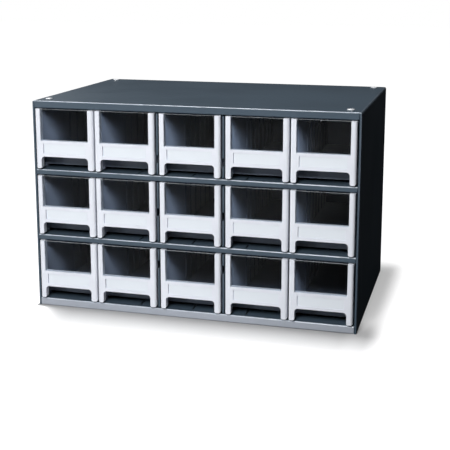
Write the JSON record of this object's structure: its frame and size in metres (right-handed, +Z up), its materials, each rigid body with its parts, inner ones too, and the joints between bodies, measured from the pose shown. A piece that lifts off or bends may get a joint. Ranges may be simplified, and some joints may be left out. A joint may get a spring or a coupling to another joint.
{
  "type": "parts bin cabinet",
  "caption": "Steel small parts cabinet with rows of plastic drawers that slide out, each with a clear window, a label recess and a finger gap.",
  "frame": {"origin": "middle of the footprint, at the level the cabinet rests on", "axes": "+X to the right as seen from the drawer fronts, +Y from the drawer fronts to the back, +Z up"},
  "size_m": [0.4318, 0.2794, 0.2809],
  "materials": {
    "case_enamel": "baked blue-grey enamel, slightly glossy, with fine texture",
    "front_plastic": "moulded pale grey-white plastic, satin",
    "tub_plastic": "moulded slate grey plastic, satin",
    "clear_window": "clear moulded plastic, glossy"
  },
  "bodies": {
    "cabinet": {"case_shell": "case_enamel", "stacking_studs": "case_enamel", "base_pan": "case_enamel", "rear_stops": "case_enamel", "back_panel": "case_enamel", "shelf_upper": "case_enamel", "shelf_lower": "case_enamel", "divider_left": "case_enamel", "divider_right": "case_enamel"},
    "drawer_r1c1": {"tub_r1c1": "tub_plastic", "front_r1c1": "front_plastic", "window_r1c1": "clear_window"},
    "drawer_r1c2": {"tub_r1c2": "tub_plastic", "front_r1c2": "front_plastic", "window_r1c2": "clear_window"},
    "drawer_r1c3": {"tub_r1c3": "tub_plastic", "front_r1c3": "front_plastic", "window_r1c3": "clear_window"},
    "drawer_r1c4": {"tub_r1c4": "tub_plastic", "front_r1c4": "front_plastic", "window_r1c4": "clear_window"},
    "drawer_r1c5": {"tub_r1c5": "tub_plastic", "front_r1c5": "front_plastic", "window_r1c5": "clear_window"},
    "drawer_r2c1": {"tub_r2c1": "tub_plastic", "front_r2c1": "front_plastic", "window_r2c1": "clear_window"},
    "drawer_r2c2": {"tub_r2c2": "tub_plastic", "front_r2c2": "front_plastic", "window_r2c2": "clear_window"},
    "drawer_r2c3": {"tub_r2c3": "tub_plastic", "front_r2c3": "front_plastic", "window_r2c3": "clear_window"},
    "drawer_r2c4": {"tub_r2c4": "tub_plastic", "front_r2c4": "front_plastic", "window_r2c4": "clear_window"},
    "drawer_r2c5": {"tub_r2c5": "tub_plastic", "front_r2c5": "front_plastic", "window_r2c5": "clear_window"},
    "drawer_r3c1": {"tub_r3c1": "tub_plastic", "front_r3c1": "front_plastic", "window_r3c1": "clear_window"},
    "drawer_r3c2": {"tub_r3c2": "tub_plastic", "front_r3c2": "front_plastic", "window_r3c2": "clear_window"},
    "drawer_r3c3": {"tub_r3c3": "tub_plastic", "front_r3c3": "front_plastic", "window_r3c3": "clear_window"},
    "drawer_r3c4": {"tub_r3c4": "tub_plastic", "front_r3c4": "front_plastic", "window_r3c4": "clear_window"},
    "drawer_r3c5": {"tub_r3c5": "tub_plastic", "front_r3c5": "front_plastic", "window_r3c5": "clear_window"}
  },
  "joints": [
    {"name": "slide_r1c1", "type": "slide", "parent": "cabinet", "child": "drawer_r1c1", "axis": [0, -1, 0], "range_m": [0, 0.215]},
    {"name": "slide_r1c2", "type": "slide", "parent": "cabinet", "child": "drawer_r1c2", "axis": [0, -1, 0], "range_m": [0, 0.215]},
    {"name": "slide_r1c3", "type": "slide", "parent": "cabinet", "child": "drawer_r1c3", "axis": [0, -1, 0], "range_m": [0, 0.215]},
    {"name": "slide_r1c4", "type": "slide", "parent": "cabinet", "child": "drawer_r1c4", "axis": [0, -1, 0], "range_m": [0, 0.215]},
    {"name": "slide_r1c5", "type": "slide", "parent": "cabinet", "child": "drawer_r1c5", "axis": [0, -1, 0], "range_m": [0, 0.215]},
    {"name": "slide_r2c1", "type": "slide", "parent": "cabinet", "child": "drawer_r2c1", "axis": [0, -1, 0], "range_m": [0, 0.215]},
    {"name": "slide_r2c2", "type": "slide", "parent": "cabinet", "child": "drawer_r2c2", "axis": [0, -1, 0], "range_m": [0, 0.215]},
    {"name": "slide_r2c3", "type": "slide", "parent": "cabinet", "child": "drawer_r2c3", "axis": [0, -1, 0], "range_m": [0, 0.215]},
    {"name": "slide_r2c4", "type": "slide", "parent": "cabinet", "child": "drawer_r2c4", "axis": [0, -1, 0], "range_m": [0, 0.215]},
    {"name": "slide_r2c5", "type": "slide", "parent": "cabinet", "child": "drawer_r2c5", "axis": [0, -1, 0], "range_m": [0, 0.215]},
    {"name": "slide_r3c1", "type": "slide", "parent": "cabinet", "child": "drawer_r3c1", "axis": [0, -1, 0], "range_m": [0, 0.215]},
    {"name": "slide_r3c2", "type": "slide", "parent": "cabinet", "child": "drawer_r3c2", "axis": [0, -1, 0], "range_m": [0, 0.215]},
    {"name": "slide_r3c3", "type": "slide", "parent": "cabinet", "child": "drawer_r3c3", "axis": [0, -1, 0], "range_m": [0, 0.215]},
    {"name": "slide_r3c4", "type": "slide", "parent": "cabinet", "child": "drawer_r3c4", "axis": [0, -1, 0], "range_m": [0, 0.215]},
    {"name": "slide_r3c5", "type": "slide", "parent": "cabinet", "child": "drawer_r3c5", "axis": [0, -1, 0], "range_m": [0, 0.215]}
  ]
}
